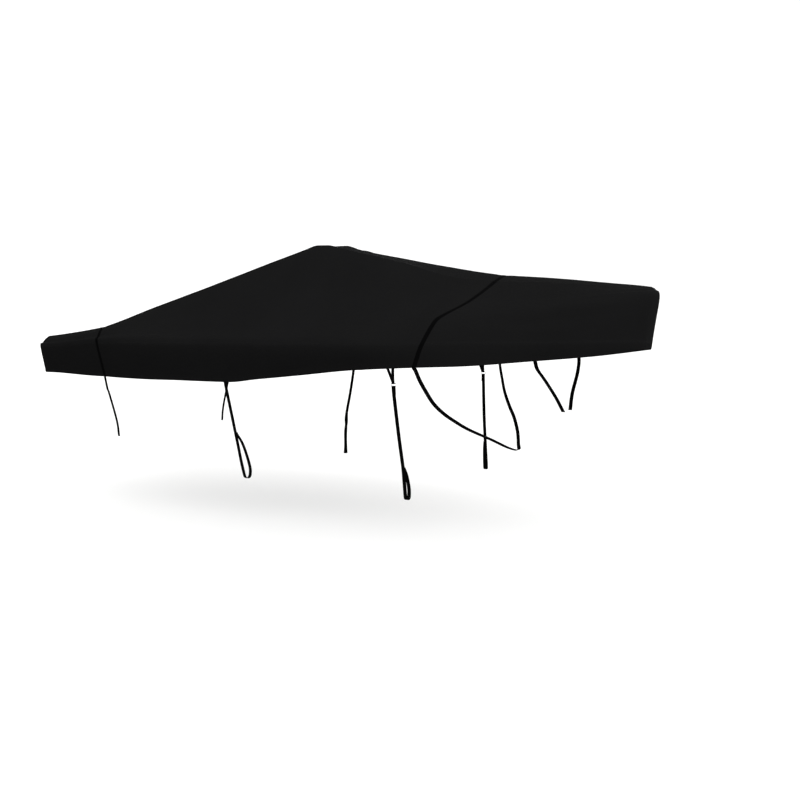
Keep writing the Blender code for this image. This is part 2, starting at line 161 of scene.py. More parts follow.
# Folds of the transom's skirt: y, rise and half width.
TRANSOM_FOLDS = (
    (-0.62, 0.0050, 0.045), (-0.44, -0.0045, 0.050), (-0.12, 0.0035, 0.060),
    (0.20, -0.0045, 0.050), (0.40, 0.0050, 0.055), (0.66, -0.0035, 0.040),
)
STRAP_HOLLOW = 0.0045      # how deep the tight straps press into the cloth
STRAP_HOLLOW_WIDTH = 0.045
UNEVENNESS = 0.0013        # slight random rise and fall of the cloth
NOISE_PLACE = Vector((3.1, 7.7, 1.3))

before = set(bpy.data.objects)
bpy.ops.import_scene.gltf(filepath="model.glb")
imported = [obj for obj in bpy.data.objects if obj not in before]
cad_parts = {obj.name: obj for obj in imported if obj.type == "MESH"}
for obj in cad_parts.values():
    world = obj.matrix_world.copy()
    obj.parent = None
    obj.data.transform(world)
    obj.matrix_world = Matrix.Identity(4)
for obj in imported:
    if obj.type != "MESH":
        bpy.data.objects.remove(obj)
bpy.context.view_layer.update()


# ---------------------------------------------------------------- camera, floor and light

def add_object(name, data):
    """A new object in the scene."""
    made = bpy.data.objects.new(name, data)
    bpy.context.scene.collection.objects.link(made)
    return made


def aim(thing, place, target):
    """Puts a lamp at a place and turns it to a target."""
    thing.location = place
    thing.rotation_euler = (Vector(target) - Vector(place)).to_track_quat("-Z", "Y").to_euler()


def add_camera():
    """The camera stands forward of the beam on the starboard side and looks slightly down."""
    lens = bpy.data.cameras.new("camera")
    lens.sensor_width = 36.0
    lens.lens = 41.175
    camera = add_object("camera", lens)
    camera.location = (3.92, -6.75, -0.646)
    camera.rotation_euler = (math.radians(90.0 - 4.8), 0.0, math.radians(26.5))
    bpy.context.scene.camera = camera


def add_soft_sun(name, towards, strength):
    """A broad far lamp with the same light all over the studio; towards points to it."""
    lamp = bpy.data.lights.new(name, "SUN")
    lamp.angle = math.radians(55.0)
    lamp.energy = strength
    aim(add_object(name, lamp), towards, (0.0, 0.0, 0.0))


def add_room_light():
    """Even light from the room: strongest just above the horizon and weak below it."""
    world = bpy.data.worlds.new("room")
    world.use_nodes = True
    tree = world.node_tree
    heading = node(tree, "ShaderNodeTexCoord")
    parts = node(tree, "ShaderNodeSeparateXYZ")
    raised = node(tree, "ShaderNodeMapRange")
    raised.inputs["From Min"].default_value = -1.0
    bands = node(tree, "ShaderNodeValToRGB")
    stops = bands.color_ramp.elements
    for place, strength in ((0.0, 0.24), (0.42, 0.24), (0.58, 1.20), (1.0, 0.62)):
        stop = stops.new(place)
        stop.color = (strength, strength, strength, 1.0)
    stops.remove(stops[0])
    stops.remove(stops[-1])
    tree.links.new(heading.outputs["Generated"], parts.inputs[0])
    tree.links.new(parts.outputs["Z"], raised.inputs["Value"])
    tree.links.new(raised.outputs["Result"], bands.inputs["Fac"])
    tree.links.new(bands.outputs["Color"], tree.nodes["Background"].inputs["Color"])
    bpy.context.scene.world = world


def add_studio():
    """A pale round floor that curves up to a pale wall, and soft light from above and ahead."""
    ground = -2.262
    flat = 13.0
    bend = 3.0
    profile = [(0.0, 0.0), (flat * 0.5, 0.0), (flat, 0.0)]
    profile += [(flat + bend * math.sin(a), bend * (1 - math.cos(a)))
                for a in (math.radians(10 * i) for i in range(1, 10))]
    profile.append((flat + bend, 11.0))
    sides = 96
    points = [(0.0, 0.0, ground)]
    for radius, height in profile[1:]:
        for i in range(sides):
            turn = 2 * math.pi * i / sides
            points.append((radius * math.cos(turn), radius * math.sin(turn), ground + height))
    faces = [(0, 1 + i, 1 + (i + 1) % sides) for i in range(sides)]
    for ring in range(len(profile) - 2):
        low = 1 + ring * sides
        faces += [(low + i, low + sides + i, low + sides + (i + 1) % sides, low + (i + 1) % sides)
                  for i in range(sides)]
    mesh = bpy.data.meshes.new("studio_floor")
    mesh.from_pydata(points, [], faces)
    mesh.shade_smooth()
    paint = bpy.data.materials.new("studio_paper")
    paint.use_nodes = True
    shader = paint.node_tree.nodes["Principled BSDF"]
    shader.inputs["Base Color"].default_value = (0.56, 0.56, 0.555, 1.0)
    shader.inputs["Roughness"].default_value = 0.9
    shader.inputs["Emission Color"].default_value = (1.0, 1.0, 1.0, 1.0)
    shader.inputs["Emission Strength"].default_value = 0.42
    mesh.materials.append(paint)
    floor = add_object("studio_floor", mesh)
    floor.visible_diffuse = False      # so that it throws no light up under the cover
    floor.visible_shadow = False

    add_soft_sun("key", (0.50, -0.75, 0.75), 1.0)
    add_soft_sun("bow", (0.90, -0.45, 0.25), 1.7)
    add_room_light()
    bpy.context.scene.view_settings.view_transform = "Standard"


# ---------------------------------------------------------------- materials

def node(tree, kind, **settings):
    """Adds a shader node and sets its properties."""
    made = tree.nodes.new(kind)
    for key, value in settings.items():
        setattr(made, key, value)
    return made


def group(name, inputs, outputs):
    """An empty shader node group with named inputs and outputs."""
    made = bpy.data.node_groups.new(name, "ShaderNodeTree")
    for label, kind, value in inputs:
        socket = made.interface.new_socket(name=label, in_out="INPUT", socket_type=kind)
        if value is not None:
            socket.default_value = value
    for label, kind in outputs:
        made.interface.new_socket(name=label, in_out="OUTPUT", socket_type=kind)
    return made, node(made, "NodeGroupInput"), node(made, "NodeGroupOutput")


def maths(tree, operation, first, second=None, third=None):
    """A Math node fed by sockets or numbers; returns its value."""
    made = node(tree, "ShaderNodeMath", operation=operation)
    for slot, value in zip(made.inputs, (first, second, third)):
        if value is None:
            continue
        if isinstance(value, (int, float)):
            slot.default_value = value
        else:
            tree.links.new(value, slot)
    return made.outputs[0]


def build_weave_group():
    """A plain weave in the piece's own UV map: threads over and under each other."""
    tree, given, result = group(
        "plain_weave",
        (("Threads per metre", "NodeSocketFloat", 900.0), ("Slub", "NodeSocketFloat", 0.35)),
        (("Height", "NodeSocketFloat"), ("Shade", "NodeSocketFloat")))
    uv = node(tree, "ShaderNodeUVMap", uv_map="cloth")
    parts = node(tree, "ShaderNodeSeparateXYZ")
    tree.links.new(uv.outputs["UV"], parts.inputs[0])
    along = maths(tree, "MULTIPLY", parts.outputs["X"], given.outputs["Threads per metre"])
    over = maths(tree, "MULTIPLY", parts.outputs["Y"], given.outputs["Threads per metre"])
    warp = maths(tree, "ABSOLUTE", maths(tree, "SINE", maths(tree, "MULTIPLY", along, math.pi)))
    weft = maths(tree, "ABSOLUTE", maths(tree, "SINE", maths(tree, "MULTIPLY", over, math.pi)))
    checks = maths(tree, "ADD", maths(tree, "FLOOR", along), maths(tree, "FLOOR", over))
    odd = maths(tree, "PINGPONG", checks, 1.0)
    mixed = node(tree, "ShaderNodeMix", data_type="FLOAT")
    tree.links.new(odd, mixed.inputs[0])
    tree.links.new(warp, mixed.inputs[2])
    tree.links.new(weft, mixed.inputs[3])
    slubs = node(tree, "ShaderNodeTexNoise", noise_dimensions="3D")
    slubs.inputs["Scale"].default_value = 60.0
    slubs.inputs["Detail"].default_value = 3.0
    tree.links.new(uv.outputs["UV"], slubs.inputs["Vector"])
    uneven = maths(tree, "MULTIPLY", slubs.outputs["Fac"], given.outputs["Slub"])
    height = maths(tree, "ADD", mixed.outputs[0], uneven)
    tree.links.new(height, result.inputs["Height"])
    tree.links.new(mixed.outputs[0], result.inputs["Shade"])
    return tree


def build_fade_group():
    """Dust and sun fade: broad uneven patches over the whole piece."""
    tree, given, result = group(
        "fade",
        (("Patch size", "NodeSocketFloat", 0.5), ("Contrast", "NodeSocketFloat", 1.0)),
        (("Amount", "NodeSocketFloat"), ("Fine", "NodeSocketFloat")))
    place = node(tree, "ShaderNodeTexCoord")
    scale = maths(tree, "DIVIDE", 1.0, given.outputs["Patch size"])
    broad = node(tree, "ShaderNodeTexNoise")
    broad.inputs["Detail"].default_value = 4.0
    broad.inputs["Roughness"].default_value = 0.55
    tree.links.new(place.outputs["Object"], broad.inputs["Vector"])
    tree.links.new(scale, broad.inputs["Scale"])
    centred = maths(tree, "SUBTRACT", broad.outputs["Fac"], 0.5)
    raised = maths(tree, "MULTIPLY_ADD", centred, given.outputs["Contrast"], 0.5)
    clamp = node(tree, "ShaderNodeClamp")
    tree.links.new(raised, clamp.inputs["Value"])
    fine = node(tree, "ShaderNodeTexNoise")
    fine.inputs["Scale"].default_value = 220.0
    fine.inputs["Detail"].default_value = 2.0
    tree.links.new(place.outputs["Object"], fine.inputs["Vector"])
    tree.links.new(clamp.outputs[0], result.inputs["Amount"])
    tree.links.new(fine.outputs["Fac"], result.inputs["Fine"])
    return tree


def build_webbing_group():
    """Woven webbing in its own UV map: ribs across it and twill along its middle."""
    tree, given, result = group(
        "webbing_weave",
        (("Rib pitch", "NodeSocketFloat", 0.0018), ("Cords across", "NodeSocketFloat", 14.0),
         ("Width", "NodeSocketFloat", 0.025)),
        (("Height", "NodeSocketFloat"), ("Shade", "NodeSocketFloat")))
    uv = node(tree, "ShaderNodeUVMap", uv_map="cloth")
    parts = node(tree, "ShaderNodeSeparateXYZ")
    tree.links.new(uv.outputs["UV"], parts.inputs[0])
    across = maths(tree, "DIVIDE", parts.outputs["Y"], given.outputs["Width"])
    cords = maths(tree, "MULTIPLY", across, given.outputs["Cords across"])
    shift = maths(tree, "MULTIPLY", maths(tree, "PINGPONG", maths(tree, "FLOOR", cords), 1.0), 0.5)
    ribs = maths(tree, "ADD", maths(tree, "DIVIDE", parts.outputs["X"], given.outputs["Rib pitch"]),
                 shift)
    rib = maths(tree, "ABSOLUTE", maths(tree, "SINE", maths(tree, "MULTIPLY", ribs, math.pi)))
    cord = maths(tree, "ABSOLUTE", maths(tree, "SINE", maths(tree, "MULTIPLY", cords, math.pi)))
    height = maths(tree, "MULTIPLY", rib, cord)
    tree.links.new(height, result.inputs["Height"])
    tree.links.new(rib, result.inputs["Shade"])
    return tree


def blank_material(name, roughness, metallic=0.0, specular=0.5):
    """A material with a Principled shader whose constant sockets are set."""
    made = bpy.data.materials.new(name)
    made.use_nodes = True
    shader = made.node_tree.nodes["Principled BSDF"]
    shader.inputs["Roughness"].default_value = roughness
    shader.inputs["Metallic"].default_value = metallic
    shader.inputs["Specular IOR Level"].default_value = specular
    return made, made.node_tree, shader


def blend_colour(tree, shader, factor, dark, light):
    """Base Color runs from dark to light with the factor."""
    ramp = node(tree, "ShaderNodeMix", data_type="RGBA")
    tree.links.new(factor, ramp.inputs[0])
    ramp.inputs[6].default_value = (*dark, 1.0)
    ramp.inputs[7].default_value = (*light, 1.0)
    tree.links.new(ramp.outputs[2], shader.inputs["Base Color"])


def add_bump(tree, shader, height, distance, strength):
    """Bump from a height."""
    bump = node(tree, "ShaderNodeBump")
    bump.inputs["Distance"].default_value = distance
    bump.inputs["Strength"].default_value = strength
    tree.links.new(height, bump.inputs["Height"])
    tree.links.new(bump.outputs["Normal"], shader.inputs["Normal"])


def use(tree, shared, **values):
    """Places a shared node group with its own values."""
    made = node(tree, "ShaderNodeGroup", node_tree=shared)
    for label, value in values.items():
        made.inputs[label.replace("_", " ")].default_value = value
    return made


def canvas_material(weave, fade):
    """Black coated polyester canvas, matt and dusty, with painted light: its colour is lighter above its
    rub line.
    """
    made, tree, shader = blank_material("black_canvas", 0.9, specular=0.01)
    threads = use(tree, weave, Threads_per_metre=850.0, Slub=0.5)
    dust = use(tree, fade, Patch_size=0.55, Contrast=1.6)
    amount = maths(tree, "MULTIPLY_ADD", threads.outputs["Shade"], 0.35, dust.outputs["Amount"])
    mottled = maths(tree, "MULTIPLY_ADD", dust.outputs["Fine"], 0.25, amount)
    # Painted light: this mask lightens the colour of the cloth above the rub line, standing in for the
    # light from above that the upper faces catch.
    painted_light_above_rub = node(tree, "ShaderNodeAttribute", attribute_name="painted_light_above_rub")
    painted_top_light = maths(tree, "MULTIPLY", painted_light_above_rub.outputs["Fac"], 0.15)
    factor = maths(tree, "MULTIPLY_ADD", mottled, 0.35, painted_top_light)
    blend_colour(tree, shader, factor, (0.0047, 0.0047, 0.0048), (0.0084, 0.0084, 0.0086))
    add_bump(tree, shader, threads.outputs["Height"], 0.00035, 0.8)
    return made


def webbing_material(ribs, fade, name, width):
    """Black polypropylene webbing."""
    made, tree, shader = blank_material(name, 0.8, specular=0.005)
    weave = use(tree, ribs, Rib_pitch=0.0019, Cords_across=round(width / 0.0017), Width=width)
    dust = use(tree, fade, Patch_size=0.12, Contrast=1.2)
    amount = maths(tree, "MULTIPLY_ADD", weave.outputs["Shade"], 0.4, dust.outputs["Amount"])
    factor = maths(tree, "MULTIPLY", amount, 0.7)
    blend_colour(tree, shader, factor, (0.0008, 0.0008, 0.0009), (0.0026, 0.0026, 0.0027))
    add_bump(tree, shader, weave.outputs["Height"], 0.0004, 0.9)
    return made


def thread_material():
    """Black polyester sewing thread."""
    made, tree, shader = blank_material("black_thread", 0.6, specular=0.05)
    place = node(tree, "ShaderNodeTexCoord")
    twist = node(tree, "ShaderNodeTexNoise")
    twist.inputs["Scale"].default_value = 900.0
    tree.links.new(place.outputs["Object"], twist.inputs["Vector"])
    dark, light = (0.0045, 0.0045, 0.0047), (0.0100, 0.0100, 0.0102)
    blend_colour(tree, shader, twist.outputs["Fac"], dark, light)
    return made


def zinc_material(fade):
    """Bright zinc plate, dulled a little by weather."""
    made, tree, shader = blank_material("zinc_plate", 0.3, metallic=1.0)
    weather = use(tree, fade, Patch_size=0.008, Contrast=1.8)
    blend_colour(tree, shader, weather.outputs["Amount"], (0.09, 0.09, 0.09), (0.24, 0.24, 0.235))
    dull = maths(tree, "MULTIPLY_ADD", weather.outputs["Amount"], 0.25, 0.22)
    tree.links.new(dull, shader.inputs["Roughness"])
    add_bump(tree, shader, weather.outputs["Fine"], 0.00005, 0.5)
    return made


# ---------------------------------------------------------------- the cover's shape

def monotone(knots, values, at):
    """Cubic through the values with no overshoot between the knots, at many places."""
    knots = np.asarray(knots, float)
    values = np.asarray(values, float)
    at = np.asarray(at, float)
    steps = np.diff(knots)
    slopes = np.diff(values) / steps
    tangents = np.empty(len(knots))
    tangents[0], tangents[-1] = slopes[0], slopes[-1]
    before, after = slopes[:-1], slopes[1:]
    both = before + after
    same_way = before * after > 0.0
    tangents[1:-1] = np.where(same_way, 2.0 * before * after / np.where(same_way, both, 1.0), 0.0)
    span = np.clip(np.searchsorted(knots, at, side="right") - 1, 0, len(steps) - 1)
    t = (at - knots[span]) / steps[span]
    value = values[span] * (1 + 2 * t) * (1 - t) ** 2 + values[span + 1] * t * t * (3 - 2 * t)
    bend = tangents[span] * t * (1 - t) ** 2 - tangents[span + 1] * t * t * (1 - t)
    return value + bend * steps[span]


def line_knots(level):
    """Knots of one line of the starboard half, (x, half breadth, z), from transom to stem."""
    stern_x = STERN_X + STERN_SHIFT[level]
    breadth, height = STATIONS[0][1 + level]
    arc = 1.0 - math.sqrt(0.5)
    knots = [(stern_x, breadth - CORNER_RADIUS, height)]
    knots.append((stern_x + arc * CORNER_RADIUS, breadth - arc * CORNER_RADIUS, height))
    knots += [(station[0], *station[1 + level]) for station in STATIONS]
    last_x, last_b, last_z = knots[-1]
    stem_x, stem_z = STEM[level]
    knots.append((
        0.25 * last_x + 0.75 * stem_x,
        (0.25 + 0.5 * NOSE_FULLNESS) * last_b,
        0.5 * (last_z + stem_z),
    ))
    knots.append((stem_x, 0.0, stem_z))
    return np.array(knots)


def side_lines():
    """The five lines of the starboard half on fine, even places, and those places."""
    rub = line_knots(1)
    knots = np.concatenate([[0.0], np.cumsum(np.linalg.norm(np.diff(rub, axis=0), axis=1))])
    places = []
    for span, (a, b) in enumerate(zip(knots, knots[1:])):
        finest = 6 if span < 2 or span > len(knots) - 4 else 1
        count = max(finest, round((b - a) / PITCH))
        places += [a + (b - a) * i / count for i in range(count)]
    places = np.array(places + [knots[-1]])
    lines = [np.stack([monotone(knots, line_knots(level)[:, i], places) for i in range(3)], axis=1)
             for level in range(5)]
    return np.array(lines), places


def catmull(points, span, t):
    """A point on the smooth curve through a row of points."""
    p1, p2 = points[span], points[span + 1]
    p0 = points[span - 1] if span else 2 * p1 - p2
    p3 = points[span + 2] if span + 2 < len(points) else 2 * p2 - p1
    return 0.5 * (2 * p1 + (p2 - p0) * t + (2 * p0 - 5 * p1 + 4 * p2 - p3) * t ** 2
                  + (3 * p1 - p0 - 3 * p2 + p3) * t ** 3)


def row_places(lines):
    """(span, share) of each row from the hem up: fine at the hem and at the seams."""
    rows = []
    for span in range(4):
        length = float(np.median(np.linalg.norm(lines[span + 1] - lines[span], axis=1)))
        count = max(4, round(length / PITCH))
        shares = {i / count for i in range(count)}
        edges = []
        if span == 0:
            edges = [0.0015, 0.5 * HEM, HEM - 0.001, HEM + 0.0005]
        if span == 1:
            edges = [SEAM - SEAM_EDGE, SEAM]
        low = edges[-1] / length if edges else 0.0
        high = 1.0
        fine = [e / length for e in edges]
        if span in (0, 3):
            fine += [1.0 - SEAM / length, 1.0 - (SEAM - SEAM_EDGE) / length]
            high = 1.0 - SEAM / length
        shares = {s for s in shares if s == 0.0 or low + 0.2 / count < s < high - 0.2 / count}
        rows += [(span, s) for s in sorted(shares | set(fine))]
    return rows


def crest_height(x):
    """Height of the centreline."""
    knots = [s[0] for s in STATIONS] + [STEM[-1][0]]
    heights = [s[6] for s in STATIONS] + [STEM[-1][1]]
    return monotone(knots, heights, np.clip(x, knots[0], knots[-1]))


def across(points, v):
    """Points of the top between the crest (v = 0) and the hip on the side of v = 1 or -1."""
    crest = crest_height(points[:, 0])
    height = crest + (points[:, 2] - crest) * abs(v) ** CREST_POWER
    sag = TOP_SAG * 4.0 * abs(v) * (1.0 - abs(v)) * np.minimum(1.0, points[:, 1] / 0.3)
    return np.stack([points[:, 0], -v * points[:, 1], height - sag], axis=1)


class Cloth:
    """Points, faces and cloth coordinates of the cover's outer face."""

    def __init__(self):
        lines, places = side_lines()
        row_spans = row_places(lines)
        self.rows = [catmull(lines, span, t) for span, t in row_spans] + [lines[-1]]
        self.levels = [span + t for span, t in row_spans] + [4.0]
        self.places = places
        self.end = len(places) - 1
        self.points = []
        self.coordinates = []
        self.faces = []
        self.face_uvs = []
        self.rings = []
        self.add_sides()
        self.add_top()

    def add_sides(self):
        """Rings from the hem up: starboard, stem, port and transom."""
        girth = np.zeros(len(self.places))
        end = self.end
        length = self.places[-1]
        top_row = len(self.rows) - 1
        hip = self.rows[-1][:1]
        for level, row in enumerate(self.rows):
            if level:
                girth = girth + np.linalg.norm(row - self.rows[level - 1], axis=1)
            ring = [(p[0], -p[1], p[2]) for p in row]
            uv = [(s - length, g) for s, g in zip(self.places, girth)]
            ring += [tuple(p) for p in row[end - 1::-1]]
            uv += [(length - s, g) for s, g in zip(self.places[end - 1::-1], girth[end - 1::-1])]
            share = max(0.0, (level / top_row - CROWN_START) / (1.0 - CROWN_START))
            for i in range(1, ACROSS):
                v = -1.0 + 2.0 * i / ACROSS
                crown = across(hip, v)[0, 2] - hip[0, 2]
                ring.append((row[0, 0], -v * row[0, 1], row[0, 2] + share * crown))
                uv.append((length + (1.0 + v) * row[0, 1], girth[0]))
            self.rings.append(range(len(self.points), len(self.points) + len(ring)))
            self.points += ring
            self.coordinates += uv
        around = len(self.rings[0])
        for low, high, row in zip(self.rings, self.rings[1:], self.rows):
            for i in range(around):
                j = (i + 1) % around
                face = (low[i], low[j], high[j], high[i])
                uvs = [self.coordinates[k] for k in face]
                if j == 0:
                    closing = length + 2.0 * row[0, 1]
                    uvs[1] = (closing, uvs[1][1])
                    uvs[2] = (closing, uvs[2][1])
                self.faces.append(face)
                self.face_uvs.append(uvs)

    def add_top(self):
        """The top between the hips, from the transom to the stem."""
        hip = self.rows[-1]
        end = self.end
        ring = self.rings[-1]
        around = len(ring)
        columns = [across(hip, 1.0 - 2.0 * i / ACROSS) for i in range(1, ACROSS)]
        previous = [ring[0]] + [ring[around - i] for i in range(1, ACROSS)] + [ring[2 * end]]
        for j in range(1, end):
            inner = [tuple(column[j]) for column in columns]
            current = [ring[j]] + list(range(len(self.points), len(self.points) + ACROSS - 1))
            current.append(ring[2 * end - j])
            self.points += inner
            self.coordinates += [(p[0], p[1]) for p in inner]
            for i in range(ACROSS):
                self.add_top_face((previous[i], current[i], current[i + 1], previous[i + 1]))
            previous = current
        for i in range(ACROSS):
            self.add_top_face((previous[i], ring[end], previous[i + 1]))

    def add_top_face(self, face):
        self.faces.append(face)
        self.face_uvs.append([self.points[k][:2] for k in face])


def smooth_step(t):
    """0 below 0, 1 above 1 and smooth between."""
    t = np.clip(t, 0.0, 1.0)
    return t * t * (3.0 - 2.0 * t)


def fold_rise(places, start, end, rise, width, bow):
    """Rise of one soft fold over many flat places, faded out at both of its ends."""
    start, end = np.array(start), np.array(end)
    run = end - start
    length = np.linalg.norm(run)
    run = run / length
    off = places - start
    t = off @ run / length
    aside = off @ np.array([-run[1], run[0]]) - bow * 4.0 * t * (1.0 - t)
    fade = smooth_step(t / 0.25) * smooth_step((1.0 - t) / 0.35)
    return rise * fade * np.exp(-(aside / (width * (0.7 + 0.6 * np.clip(t, 0.0, 1.0)))) ** 2)


def hollow(distance):
    """How the cloth gives under a tight strap, at a distance from the strap's middle."""
    return -STRAP_HOLLOW * np.exp(-(distance / STRAP_HOLLOW_WIDTH) ** 2)


def bow_strap_x(y, z):
    """Where the middle of the bow strap lies along the boat, for one place or for many."""
    back = BOW_STRAP_SWEEP * np.minimum(abs(y), BOW_STRAP_KNEE) ** 2
    return BOW_STRAP_X - back - BOW_STRAP_LEAN * np.maximum(0.0, BOW_STRAP_KNEE_Z - z)


def cloth_rise(points, normals):
    """How far each point of the cloth stands off its drawn shape, along its normal."""
    x, y, z = points.T
    rise = np.zeros(len(points))
    flat = smooth_step((normals[:, 2] - 0.80) / 0.12)
    stern = smooth_step((-normals[:, 0] - 0.6) / 0.3)
    side = (1.0 - flat) * (1.0 - stern)
    for start, end, height, width, bow, where in SIDE_FOLDS:
        on = side if where == "both" else side * (y * (1 if where == "port" else -1) > 0.0)
        rise += on * fold_rise(points[:, (0, 2)], start, end, height, width, bow)
    for start, end, height, width, bow in TOP_FOLDS:
        rise += (1.0 - stern) * smooth_step((normals[:, 2] - 0.75) / 0.15) * fold_rise(
            points[:, :2], start, end, height, width, bow)
    drop = smooth_step((-0.80 - z) / 0.25)
    for place, height, width in TRANSOM_FOLDS:
        rise += stern * drop * height * np.exp(-((y - place) / width) ** 2)
    skirt = side * smooth_step((-0.86 - z) / 0.2)
    rise += skirt * 0.0022 * np.sin(x * 9.0 + 1.3 * np.sign(y)) * np.sin(x * 3.7 + 0.4)
    rise += hollow(x - STERN_STRAP_X)
    lean = np.where(abs(y) < BOW_STRAP_KNEE, 2.0 * BOW_STRAP_SWEEP * y, BOW_STRAP_LEAN)
    rise += hollow((x - bow_strap_x(y, z)) / np.sqrt(1.0 + lean * lean))
    rise += UNEVENNESS * np.array([
        noise.noise(Vector(p) * 4.0 + NOISE_PLACE) + 0.4 * noise.noise(Vector(p) * 11.0)
        for p in points])
    return rise


def trim_rise(girth, on_side, at_rub, at_hip):
    """Steps of the doubled hem and of the felled seams."""
    hem = on_side * (girth < HEM) * HEM_STEP * np.clip(girth / 0.0015, 0.3, 1.0)
    return hem + SEAM_STEP * np.maximum(at_rub, at_hip)


def outward_normals(points, faces):
    """Vertex normals of a mesh."""
    mesh = bpy.data.meshes.new("scratch")
    mesh.from_pydata(points.tolist(), [], faces)
    mesh.update()
    normals = np.empty(len(points) * 3)
    mesh.vertex_normals.foreach_get("vector", normals)
    bpy.data.meshes.remove(mesh)
    return normals.reshape(-1, 3)


def link(name, points, faces, uvs, material):
    """A finished piece with its own UV map and its material."""
    mesh = bpy.data.meshes.new(name)
    mesh.from_pydata([tuple(p) for p in points], [], faces)
    layer = mesh.uv_layers.new(name="cloth")
    layer.data.foreach_set("uv", [c for face in uvs for uv in face for c in uv])
    mesh.materials.append(material)
    mesh.shade_smooth()
    made = add_object(name, mesh)
    return made


def build_cover(material):
    """The cover, with its outer face as a tree, as cloth and as points, for the straps."""
    cloth = Cloth()
    points = np.array(cloth.points, float)
    normals = outward_normals(points, cloth.faces)
    girth = np.array([uv[1] for uv in cloth.coordinates])
    on_side = np.zeros(len(points))
    on_side[:cloth.rings[-1][-1] + 1] = 1.0
    at_rub = np.zeros(len(points))
    at_hip = np.zeros(len(points))
    rub_girth = girth[np.array(cloth.rings[cloth.levels.index(1.0)])]
    hip_girth = girth[np.array(cloth.rings[-1])]
    for ring in cloth.rings:
        index = np.array(ring)
        at_rub[index] = np.abs(girth[index] - rub_girth) < SEAM - SEAM_SLACK
        at_hip[index] = np.abs(girth[index] - hip_girth) < SEAM - SEAM_SLACK
    rise = cloth_rise(points, normals) + trim_rise(girth, on_side, at_rub, at_hip)
    points = points + normals * rise[:, None]
    cover = link("canvas_cover", points, cloth.faces, cloth.face_uvs, material)
    height = np.full(len(points), cloth.levels[-1])
    for level, ring in zip(cloth.levels, cloth.rings):
        height[np.array(ring)] = level
    # Painted light: 1 above the rub line and 0 on the skirt below, so that the upper cloth is coloured
    # lighter, as if lit from above.
    painted_light_above_rub = cover.data.attributes.new("painted_light_above_rub", "FLOAT", "POINT")
    painted_light_above_rub.data.foreach_set("value", smooth_step((height - 0.88) / 0.12))
    wall = cover.modifiers.new("cloth", "SOLIDIFY")
    wall.thickness = CLOTH
    wall.offset = -1.0
    wall.use_even_offset = True
    tree = BVHTree.FromPolygons([Vector(p) for p in points], cloth.faces)
    return cover, tree, cloth, points


# ---------------------------------------------------------------- webbing

def even_places(route, step):
    """(span, share) of places about a step apart along a route."""
    places = []
    for span in range(len(route) - 1):
        count = max(2, math.ceil((route[span + 1] - route[span]).length / step))
        places += [(span, i / count) for i in range(count)]
    return places


def smoothed(route, step):
    """A smooth line through a route's points, with places about a step apart."""
    return [catmull(route, span, t) for span, t in even_places(route, step)] + [route[-1]]


def webbing_profile(width):
    """Half outline of a webbing's cross-section: (across, up), its edges slightly rounded."""
    half = width / 2
    thick = WEBBING / 2
    edge = [(half - thick * 0.8 + thick * 0.8 * math.sin(a), thick * math.cos(a))
            for a in (math.radians(30 * i) for i in range(7))]
    flats = [half * share for share in (-0.75, -0.25, 0.25, 0.75)]
    top = [(x, thick) for x in flats]
    bottom = [(-x, -thick) for x in flats]
    return top + edge + bottom + [(-x, -y) for x, y in edge]


def build_webbing(name, route, normals, width, material, closed=False, level=False):
    """Flat woven webbing along a fine route, its face turned along the normals."""
    profile = webbing_profile(width)
    sides = len(profile)
    girth = [0.0]
    for k in range(sides):
        a, b = profile[k], profile[(k + 1) % sides]
        girth.append(girth[-1] + math.dist(a, b))
    count = len(route)
    points = []
    run = [0.0]
    for i, (place, normal) in enumerate(zip(route, normals)):
        before = route[i - 1] if i or closed else place
        after = route[(i + 1) % count] if i + 1 < count or closed else place
        along = (after - before).normalized()
        side = Vector((-1.0, 0.0, 0.0)) if level else along.cross(normal).normalized()
        face = side.cross(along).normalized()
        points += [place + side * x + face * y for x, y in profile]
        run.append(run[-1] + (route[(i + 1) % count] - place).length)
    faces = []
    uvs = []
    for i in range(count if closed else count - 1):
        a, b = sides * i, sides * ((i + 1) % count)
        for k in range(sides):
            m = (k + 1) % sides
            faces.append((a + k, b + k, b + m, a + m))
            uvs.append([(run[i], girth[k]), (run[i + 1], girth[k]),
                        (run[i + 1], girth[k + 1]), (run[i], girth[k + 1])])
    if not closed:
        last = sides * (count - 1)
        faces.append(tuple(range(sides)))
        faces.append(tuple(last + k for k in reversed(range(sides))))
        uvs += [[profile[k] for k in range(sides)], [profile[k] for k in reversed(range(sides))]]
    made = link(name, points, faces, uvs, material)
    made.data.set_sharp_from_angle(angle=math.radians(50))
    return made


